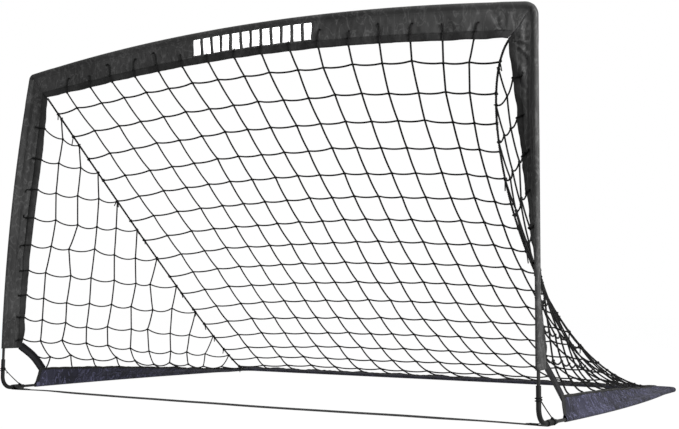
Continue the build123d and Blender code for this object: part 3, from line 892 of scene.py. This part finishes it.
def rear_flaps():
    """The rear corner's and rear bar's flaps: two legs and the bar, mitred and rounded."""
    tilt, radius = math.radians(12.0), 0.0479
    middle_x, middle_y = HALF_REAR + POCKET_R - radius, REAR_Y + POCKET_R - radius

    def rounding(points):
        out = points
        for side in (-1, 1):
            x, y = side * out[..., 0] - middle_x, out[..., 1] - middle_y
            near = (x > 0) & (y > 0)
            share = np.where(near, np.maximum(x, y) / np.maximum(np.hypot(x, y), 1e-9), 1.0)
            moved = np.stack([side * (x * share + middle_x), y * share + middle_y, out[..., 2]], -1)
            out = np.where(near[..., None], moved, out)
        return out

    def made(points, inward, seed, cuts):
        line = Line(points)
        level = np.array(inward) * math.cos(tilt) + np.array([0, 0, math.sin(tilt)])

        def across(s, along):
            return np.broadcast_to(level, along.shape)

        def folds(s, a):
            soft = 0.0012 * waves(seed, 7, 0.05, 0.2, s, a, 1.3)
            fine = 0.0005 * waves(seed + 5, 8, 0.018, 0.045, s, a, 1.5)
            ends = smooth(0.0, 0.05, s) * smooth(0.0, 0.05, line.length - s)
            return (soft + fine) * ends * smooth(0.0, 0.055, a)

        return Flap(line, across, folds, cuts, rounding)

    legs = {side: [(side * HALF_REAR, y, GROUND_Z) for y in (REAR_Y - REAR_REACH, REAR_Y)]
            for side in (-1, 1)}

    def cut(a):
        return a * math.cos(tilt)

    return [
        made(legs[-1], (1, 0, 0), 61, (None, cut)),
        made([legs[-1][1], legs[1][1]], (0, -1, 0), 62, (cut, cut)),
        made(legs[1], (-1, 0, 0), 63, (None, cut)),
    ]


rear = rear_flaps()
parts, hems, area, total = [], [], 0.0, 0.0
for flap in rear:
    (part, width, length), edge = ground_parts(flap)
    parts.append(part)
    hems.append(edge)
    area, total = area + width * length, total + length
name = "rear_ground_sleeve"
sleeve = build(name, parts, ground_cloth, "rear", (name,))
rim = build(name + "_binding", hems, dark_binding, "rear")
sewn = build(name + "_stitches", seam_rows(rear[1], GROUND_ROWS, 0.01, GROUND_ROWS[1][0]), thread,
             "rear")


def follow_hoop(piece):
    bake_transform(piece)


def follow_rear(piece):
    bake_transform(piece)


def behind_split(point):
    """Which of two groups a point is in: 0 before SPLIT_Y, 1 behind it."""
    return int(point[1] >= SPLIT_Y)


def add_tubes(groups, line, radius):
    """Adds tubes along a line's stretches before and behind SPLIT_Y, each ending on it exactly."""
    runs, current, group = [], [line[0]], behind_split(line[0])
    for a, b in zip(line, line[1:]):
        if behind_split(b) != group:
            crossing = a + (b - a) * ((SPLIT_Y - a[1]) / (b[1] - a[1]))
            runs.append((group, current + [crossing]))
            current, group = [crossing], 1 - group
        current.append(b)
    for group, run in runs + [(group, current)]:
        if len(run) > 1:
            groups[group].append(tube(run, radius, 6))


def build_pair(name, groups, material, nodes):
    """The two objects of a net or seam rope, before and behind SPLIT_Y, each with its transform
    baked into its mesh.
    """
    for parts, ending, follow in zip(groups, ("_front", "_rear"), (follow_hoop, follow_rear)):
        follow(build(name + ending, parts, material, None, nodes))


# ---- the net ----
SEAM_CONTROL = ((0.8141, -0.6013, 0.9658), (0.6766, -0.5996, 0.8003), (0.6046, 0.2175, -0.0357),
                (0.9143, 0.6649, 0.0120))
SEAM_END = 0.94                            # share of the curve where the rope reaches the rear flap


def seam_line(side):
    t = np.linspace(0, SEAM_END, 160)[:, None]
    post = uprights[side]
    c = [np.array(p) * (side, 1, 1) for p in SEAM_CONTROL]
    c[0] = post.place(post.span(HOOP_FLAP)[1], HOOP_FLAP - 0.002, -0.004 * side)
    return Line(c[0] * (1 - t) ** 3 + 3 * c[1] * (1 - t) ** 2 * t + 3 * c[2] * (1 - t) * t * t
                + c[3] * t ** 3)


seams = {side: seam_line(side) for side in (-1, 1)}


class Net:
    """Twines tied at knots, settled under their own weight. A pinned node stays, and a node's
    pull is the share of the way back to its start that it moves in a step."""

    def __init__(self, seed):
        self.rng = np.random.default_rng(seed)
        self.points, self.pinned, self.pull = [], [], []
        self.links, self.rest, self.bends = [], [], []
        self.twines, self.knots = [], []

    def node(self, point, pinned=False, pull=0.0):
        self.points.append(np.array(point, float))
        self.pinned.append(pinned)
        self.pull.append(pull)
        return len(self.points) - 1

    def twine(self, ids, slack, parts, wander):
        """A twine through nodes; slack is each stretch's length over its gap, and wander how far
        it strays from straight, as a share of the gap."""
        route = [ids[0]]
        slack = np.broadcast_to(slack, (len(ids) - 1,))
        for (a, b), loose in zip(zip(ids, ids[1:]), slack):
            start, end = self.points[a], self.points[b]
            gap = np.linalg.norm(end - start)
            drift = self.rng.normal(0, wander * gap, 3)
            drift[2] -= gap * math.sqrt(max(loose - 1, 0)) * 0.5
            chain = [a]
            for t in np.arange(1, parts) / parts:
                chain.append(self.node(start + (end - start) * t + drift * math.sin(math.pi * t)))
            chain.append(b)
            for c, d in zip(chain, chain[1:]):
                self.links.append((c, d))
                self.rest.append(gap * loose / parts)
            route += chain[1:]
        self.bends += zip(route, route[1:], route[2:])
        self.twines.append(route)

    def settle(self, steps):
        """Lets the twines hang: weight, the pull to where a knot began, stiffness, then length."""
        weight, stiff, haste, lowest = 0.00010, 0.10, 1.6, 0.004
        x, pinned = np.array(self.points), np.array(self.pinned)
        aim, pull = x.copy(), np.array(self.pull)[:, None]
        links, rest, bends = np.array(self.links), np.array(self.rest), np.array(self.bends)
        free = (~pinned).astype(float)[:, None]
        count = np.bincount(links.ravel(), minlength=len(x))[:, None].clip(1)
        bent = np.bincount(bends[:, 1], minlength=len(x))[:, None].clip(1)
        for _ in range(steps):
            x[:, 2:] -= weight * free
            x += pull * (aim - x) * free
            shift = np.zeros_like(x)
            middle = (x[bends[:, 0]] + x[bends[:, 2]]) / 2 - x[bends[:, 1]]
            for k in range(3):
                shift[:, k] = np.bincount(bends[:, 1], middle[:, k], len(x))
            x += stiff * shift / bent * free
            for _ in range(5):
                d = x[links[:, 1]] - x[links[:, 0]]
                long = np.linalg.norm(d, axis=1)
                over = (np.maximum(long - rest, 0) / np.maximum(long, 1e-9))[:, None] * d * 0.5
                for k in range(3):
                    shift[:, k] = (np.bincount(links[:, 0], over[:, k], len(x))
                                   - np.bincount(links[:, 1], over[:, k], len(x)))
                x += haste * shift / count * free
            x[:, 2] = np.maximum(x[:, 2], lowest)
        self.x = x

    def lines(self):
        return [curve_through(self.x[route], 3) for route in self.twines]


def knot_part(place, size, thick, rng):
    """A small overhand knot pulled tight."""
    t = around(20)
    loop = np.stack([np.sin(t) + 2 * np.sin(2 * t), np.cos(t) - 2 * np.cos(2 * t),
                     -1.6 * np.sin(3 * t)], 1) / 3
    turn = np.linalg.qr(rng.normal(size=(3, 3)))[0]
    return tube(place + (loop * size) @ turn, thick, 5, closed=True)


def row_share(k):
    """The share of the seam at a row of the back net; the rows crowd a little towards the top."""
    if k == 0 or k > ROWS:
        return min(k, 1.0)
    return (0.64 + 0.885 * (k - 1) + 0.0003 * (k - 1) ** 3) / ROWS


def column_shift(column, share):
    """How many cells a column of the back net lies to the right of an even spacing: high on the
    crossbar, and low from a fifth of the way down."""
    if column in (0, CELLS):
        return 0.0
    high = 0.30 * smooth(3, 14, column) - 0.12
    low = min(1.05 * (1 - math.exp(-(column - 0.9) / 3.0)) - 0.1, 0.9, 0.60 * (CELLS - column))
    return high + (low - high) * (1 - math.exp(-share / 0.16))


def seam_knot(k):
    """Where a side net's k-th column meets the seam, along it."""
    return 0.083 + 0.100 * (k - 1) + 0.0045 * (k - 1) ** 2


def back_panel():
    """The back net's nodes: its sides on the seams, its top and foot on the hems' edges."""
    net = Net(101)
    rows = ROWS + 1
    half = CELLS / 2
    reach = seams[1].length
    start, end = seams[1].at(0.0), seams[1].at(reach)
    chord = end - start
    grid = {}
    for row in range(rows + 1):
        share = row_share(row)
        spot = seams[1].at(reach * share)
        along = ((spot - start) @ chord) / (chord @ chord)
        off = spot - (start + chord * along)
        for column in range(CELLS + 1):
            u = (column + column_shift(column, share) - half) / half
            inner = min(column, CELLS - column)
            if inner == 0:
                point = seams[1 if u > 0 else -1].at(reach * share)
                grid[row, column] = net.node(point, pinned=True)
                continue
            top = crossbar.place(crossbar_middle + u * NET_HALF, HOOP_FLAP - 0.001, 0.0)
            foot_s = HALF_REAR + u * (HALF_REAR - GROUND_FLAP - 0.002)
            foot = rear[1].place(foot_s, GROUND_FLAP, 0.0)
            less = 1 - 0.17 * (1 - math.exp(-inner / 0.9))     # the net sags less than its seams
            point = top + (foot - top) * along + np.array([0, off[1], off[2]]) * less
            point[0] = (u * abs(spot[0]) + (top[0] - u * start[0]) * (1 - share)
                        + (foot[0] - u * end[0]) * share)
            if 0 < row < rows:
                point = point + net.rng.normal(0, 0.0018, 3)
            grid[row, column] = net.node(point, pinned=row in (0, rows), pull=0.05)
    for column in range(1, CELLS):
        ids = [grid[row, column] for row in range(rows + 1)]
        slack = 1.004 + 0.012 * net.rng.random(rows)
        slack[-1] = 1.08
        net.twine(ids, slack, 4, 0.012)
    for row in range(1, rows):
        ids = [grid[row, column] for column in range(CELLS + 1)]
        slack = 1.004 + 0.012 * net.rng.random(CELLS)
        slack[0] = slack[-1] = 1.02
        net.twine(ids, slack, 4, 0.012)
    net.knots = [grid[row, column] for row in range(1, rows) for column in range(1, CELLS)]
    return net


def tape_line(side):
    """The corner tape's middle, from the upright's hem to the ground flap's front corner."""
    top = uprights[side].place(0.008, HOOP_FLAP - 0.006, 0.0)
    foot = rails[side].place(SIDE_FRONT + (0.020 if side < 0 else 0.008), GROUND_FLAP - 0.006, 0.0)
    belly = (top + foot) / 2 + np.array([-side * 0.003, 0.004, 0.004])
    return Line(curve_through([top, belly, foot], 16))


tapes = {side: tape_line(side) for side in (-1, 1)}
# The side nets' ties: heights up the post, and how far behind the mouth on the ground flap.
POST_HEIGHTS = [0.86 - 0.105 * j * (1 - 0.0216 * j) for j in range(SIDE_ROWS - 2)]
FIRST_FOOT, FOOT_PITCH = {-1: 0.185, 1: 0.21}, 0.118
LEG_BACK = REAR_Y - REAR_REACH - FRONT_Y   # where the rear corner's own flap begins


def post_ties(side):
    """Where along an upright's line its net is tied."""
    samples = np.linspace(0, uprights[side].line.length, 60)
    heights = [uprights[side].place(s, HOOP_FLAP, 0.0)[2] for s in samples]
    return [float(np.interp(z, heights, samples)) for z in POST_HEIGHTS]


def side_panel(side):
    """A side net's nodes. Row j runs from the upright to the seam's knot j, and column k from the
    seam's knot k down to the ground flap, so the panel is cut on the diagonal."""
    net = Net(201 if side > 0 else 202)
    nearer = 0.30 if side < 0 else 0.0     # cells the left net's lower columns are nearer the post
    post, flap, seam = uprights[side], rails[side], seams[side]
    anchors = {j + 2: post.place(s, HOOP_FLAP - 0.001, 0.0) for j, s in enumerate(post_ties(side))}
    on_tape = tapes[side].at(tapes[side].length * 0.45)
    anchors[SIDE_ROWS] = on_tape + np.array([0, 0.009, 0.004])
    knots = {k: seam.at(seam_knot(k)) for k in range(1, SIDE_ROWS + 1)}
    grid = {}
    for j in range(2, SIDE_ROWS + 1):
        grid[0, j] = net.node(anchors[j], pinned=True)
        for k in range(1, j):
            point = anchors[j] + (knots[j] - anchors[j]) * (k - nearer * smooth(4, 9, j)) / j
            grid[k, j] = net.node(point + net.rng.normal(0, 0.005, 3), pull=0.12)
        grid[j, j] = net.node(knots[j], pinned=True)
    grid[1, 1] = net.node(knots[1], pinned=True)
    for j in range(2, SIDE_ROWS + 1):
        slack = 1.02 + 0.22 * net.rng.random(j) ** 2
        if j == 2:
            slack[:] = (1.10, 1.28)
        net.twine([grid[k, j] for k in range(0, j + 1)], slack, 6, 0.10)
    run = np.linspace(0, flap.line.length, 80)
    for k in range(1, SIDE_ROWS):
        back = FIRST_FOOT[side] + FOOT_PITCH * (k - 1)
        if back < LEG_BACK - 0.003:
            s = np.interp(back, flap.line.at(run)[:, 1] - FRONT_Y, run)
            edge = flap.place(s, GROUND_FLAP, 0.0)
        else:
            edge = rear[1 + side].place(back - LEG_BACK, GROUND_FLAP, 0.0)
        ids = [grid[k, j] for j in range(k, SIDE_ROWS + 1)] + [net.node(edge, pinned=True)]
        slack = 1.006 + 0.03 * net.rng.random(len(ids) - 1)
        slack[-1] = 1.12 + 0.12 * net.rng.random()
        net.twine(ids, slack, 5, 0.03)
    net.knots = [grid[k, j] for j in range(2, SIDE_ROWS + 1) for k in range(1, j)]
    return net


def net_pieces(net, name, radius):
    """A net's twines and knots, settled and built."""
    net.settle(320)
    groups = ([], [])
    for line in net.lines():
        add_tubes(groups, line, radius)
    for k in net.knots:
        place = net.x[k]
        groups[behind_split(place)].append(knot_part(place, 0.0032, 0.0017, net.rng))
    build_pair(name, groups, net_twine, (name,))


net_pieces(back_panel(), "back_net", BACK_TWINE_R)
for side in (-1, 1):
    net_pieces(side_panel(side), NAMES[side] + "_side_net", TWINE_R)


# ---- seam ropes: three strands laid round each seam, with knots and loose tails ----
def rope_strands(line):
    """The middles of strands twisted round a line."""
    pitch, strands, step = 0.020, 3, 0.0028
    fine = line.at(np.arange(0, line.length, step))
    _, side, up = frames(fine)
    run = np.arange(len(fine)) * step
    out = []
    for k in range(strands):
        angle = 2 * math.pi * (run / pitch + k / strands)
        round_axis = side * np.cos(angle)[:, None] + up * np.sin(angle)[:, None]
        out.append(fine + round_axis * ROPE_R * 0.52)
    return out


for side, seam in seams.items():
    name = NAMES[side] + "_seam_rope"
    rng = np.random.default_rng(301 + side)
    groups = ([], [])
    for strand in rope_strands(seam):
        add_tubes(groups, strand, ROPE_R * 0.5)
    knots = [seam_knot(k) for k in range(1, SIDE_ROWS + 1)]
    knots += [seam.length * row_share(k) for k in range(1, ROWS + 1)]
    for s in knots:
        place = seam.at(s)
        group = groups[behind_split(place)]
        group.append(knot_part(place, 0.0048, 0.0019, rng))
        if rng.random() < 0.45:
            hang = rng.uniform(0.010, 0.026)
            drift = rng.normal(0, 0.006, 3)
            tail = [place, place + (0, 0, -hang * 0.4) + drift * 0.5, place + (0, 0, -hang) + drift]
            group.append(tube(curve_through(tail, 4), 0.0018, 6))
    build_pair(name, groups, seam_yarn, (name,))


# ---- lacing: the net's ends through the hems ----
def lacing(flap, spots, name, seed, tail, face):
    """A wrap over the hem's edge at each net end, a small knot, and the loose end on the cloth.
    The tails are as long as tail says, and shorter where they would cross the print."""
    rng = np.random.default_rng(seed)
    parts = []
    hem_a = HOOP_FLAP - HEM
    for s in spots:
        printed = flap is crossbar and abs(s - PRINT_MIDDLE) < PRINT_HALF
        slip = rng.uniform(-0.004, 0.004)
        wrap = [(0.0, HOOP_FLAP - 0.003, -0.0041), (0.0, HOOP_FLAP + 0.0026, 0.0),
                (slip * 0.3, HOOP_FLAP - 0.004, 0.0042), (slip, hem_a + 0.004, 0.0042),
                (slip * 1.4, hem_a - 0.003, 0.0034)]
        reach = rng.uniform(*tail) * (0.1 if printed else 1.0)
        hook = rng.choice([-1, 1]) * rng.uniform(0.4, 1.0)
        for t in (0.25, 0.5, 0.75, 1.0):
            wrap.append((slip * 1.4 + hook * reach * 0.55 * t * t,
                         hem_a - 0.003 - reach * math.sin(t * 1.9) * 0.8, 0.0034))
        place = np.array([flap.place(s + ds, a, b * face) for ds, a, b in wrap])
        parts.append(tube(curve_through(place, 4), TWINE_R * 0.9, 6))
        knot = flap.place(s + slip, hem_a + 0.001, 0.0058 * face)
        parts.append(knot_part(knot, 0.0032, 0.0015, rng))
    build(name, parts, net_twine, "hoop")


half = CELLS / 2
spots = [crossbar_middle + (k + column_shift(k, 0.0) - half) / half * NET_HALF
         for k in range(1, CELLS)]
lacing(crossbar, spots, "crossbar_lacing", 401, (0.012, 0.034), -1)
for side in (-1, 1):
    lacing(uprights[side], post_ties(side), NAMES[side] + "_upright_lacing", 402 + side,
           (0.008, 0.020), side)


# ---- corner tapes ----
def ribbon(line, width_way, width, thick, count):
    """A strap: rounded flat section along a line; width_way gives its width's direction."""
    s = np.linspace(0, line.length, count)
    point, way = line.at(s), line.way(s)
    wide = unit(square_to(width_way(s), way))
    cos, sin = np.cos(around(16)), np.sin(around(16))
    flat = np.sign(cos) * np.abs(cos) ** 0.35 * width / 2
    high = np.sign(sin) * np.abs(sin) ** 0.6 * thick / 2
    points = (point[:, None] + wide[:, None] * flat[:, None]
              + np.cross(way, wide)[:, None] * high[:, None])
    faces = grid_faces(count, 16, ring=True)
    u = np.broadcast_to(s[:, None], (count, 16))
    uv = grid_uvs(u, np.broadcast_to(flat + width / 2, (count, 16)), faces)
    caps, size = [], (count - 1) * 16
    for k in range(7):
        quad = [k, k + 1, 14 - k, 15 - k]
        caps.append(quad[::-1])
        caps.append([size + q for q in quad])
    faces = np.concatenate([faces, caps])
    return points.reshape(-1, 3), faces, np.concatenate([uv, np.zeros((len(caps) * 4, 2))])


for side, line in tapes.items():
    name = NAMES[side] + "_corner_tape"
    outward = np.array([side, 0.5 if side < 0 else 0.0, 0])
    strip = ribbon(line, lambda s: np.cross(line.way(s), outward), TAPE_WIDTH, 0.0016, 40)
    tape = build(name, [strip], binding_tape, None, (name,))
    follow_hoop(tape)


# ---- ground strap ----
def strap_points():
    """The strap's middle in X and Z: a tail, a turn round each elbow's leg, and the long run."""
    r = ELBOW_R + 0.0010
    out = []
    for side in (-1, 1):
        centre = leg_point(side, STRAP_BACK)
        tail = [(-side * 0.060, 0.0026 - GROUND_Z), (-side * 0.030, 0.0034 - GROUND_Z)]
        angles = np.linspace(math.radians(135), math.radians(-90), 12)
        turn = [(side * r * math.cos(a), r * math.sin(a)) for a in angles]
        points = [(centre[0] + x, centre[2] + z) for x, z in tail + turn]
        points.append((centre[0] - side * 0.030, 0.0010))
        out.append(points if side < 0 else points[::-1])
    wander = np.random.default_rng(501)
    run = [(x, 0.0026 + 0.0008 * abs(wander.normal())) for x in np.linspace(-0.76, 0.76, 14)]
    return out[0] + run + out[1]


STRAP_BOW, BOW_HALF = 0.036, 0.84          # the strap bows forward between its elbows
strap_line = Line(curve_through(
    [(x, STRAP_Y - STRAP_BOW * (1 - min(abs(x) / BOW_HALF, 1) ** 2), z) for x, z in strap_points()],
    6))


def strap_wide(s):
    """The strap lies flat at the elbows and a little on edge along its run."""
    tilt = 0.08 * smooth(0.22, 0.40, s) * smooth(0.22, 0.40, strap_line.length - s)
    return np.stack([tilt * 0, np.ones_like(tilt), tilt], -1)


box_stitch = []
for side in (-1, 1):
    x = leg_point(side, STRAP_BACK)[0] - side * np.array([0.052, 0.030, 0.030, 0.052])
    y = STRAP_Y + np.array([-0.009, -0.009, 0.009, 0.009])
    corners = np.stack([x, y, np.full(4, 0.0040)], 1)
    for a, b in ((0, 1), (1, 2), (2, 3), (3, 0), (0, 2), (3, 1)):
        t = np.linspace(0, 1, 8)[:, None]
        box_stitch.append(tube(corners[a] + (corners[b] - corners[a]) * t, 0.0004, 5))
strap = ribbon(strap_line, strap_wide, STRAP_WIDTH, 0.0020, 420)
build("ground_strap", [strap], strap_webbing, "base", ("ground_strap",))
build("ground_strap_stitches", box_stitch, thread, "base")


# ---- corner cords: taut between the front elbow's legs, knotted at both ----
def wraps(centre, way, radius):
    """A few turns of cord round a leg."""
    turns = 1.6
    u = unit(np.cross(way, (0.3, 0.9, 0.1)))
    v = np.cross(way, u)
    t = np.linspace(0, 1, int(18 * turns))[:, None]
    angle = 2 * math.pi * turns * t
    circle = (u * np.cos(angle) + v * np.sin(angle)) * radius
    return centre + circle + way * (t - 0.5) * turns * CORD_D * 2.05


for side in (-1, 1):
    name = NAMES[side] + "_corner_cord"
    rng = np.random.default_rng(601 + side)
    upper = np.array([side * HALF_WIDTH, FRONT_Y, CORD_Z])
    lower = leg_point(side, CORD_BACK)
    leg_way = unit(lower - leg_point(side, 0.0))
    round_leg = ELBOW_R + CORD_D / 2 + 0.0002
    first, last = upper + (0, round_leg, 0), lower + (0, 0, round_leg)
    data = bpy.data.curves.new(name, "CURVE")
    data.dimensions = "3D"
    data.bevel_depth, data.bevel_resolution, data.resolution_u = CORD_D / 2, 3, 12
    spline = data.splines.new("NURBS")
    spline.points.add(3)
    for k, t in enumerate((0.0, 0.33, 0.67, 1.0)):
        place = first + (last - first) * t - np.array([0, 0, 0.0018 * math.sin(math.pi * t)])
        spline.points[k].co = (*place, 1.0)
    spline.order_u = 3
    spline.use_endpoint_u = True
    cord = bpy.data.objects.new(name, data)
    bpy.context.scene.collection.objects.link(cord)
    data.materials.append(tie_cord)
    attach(cord, "base")
    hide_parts(name)
    knot_parts = []
    for middle, way, tie in ((upper, np.array([0, 0, 1.0]), first), (lower, leg_way, last)):
        coil = wraps(middle, way, round_leg)
        coil[:, 2] = np.maximum(coil[:, 2], CORD_D / 2 + 0.0003)
        knot_parts.append(tube(coil, CORD_D / 2, 8))
        knot_parts.append(knot_part(tie, 0.0036, 0.0012, rng))
    tail_end = first + np.array([-side * 0.004, 0.006, -0.014])
    tail = [first, (first + tail_end) / 2 + (0, 0.003, 0), tail_end]
    knot_parts.append(tube(curve_through(tail, 5), 0.0012, 6))
    knots = build(name + "_knots", knot_parts, tie_cord, "base")
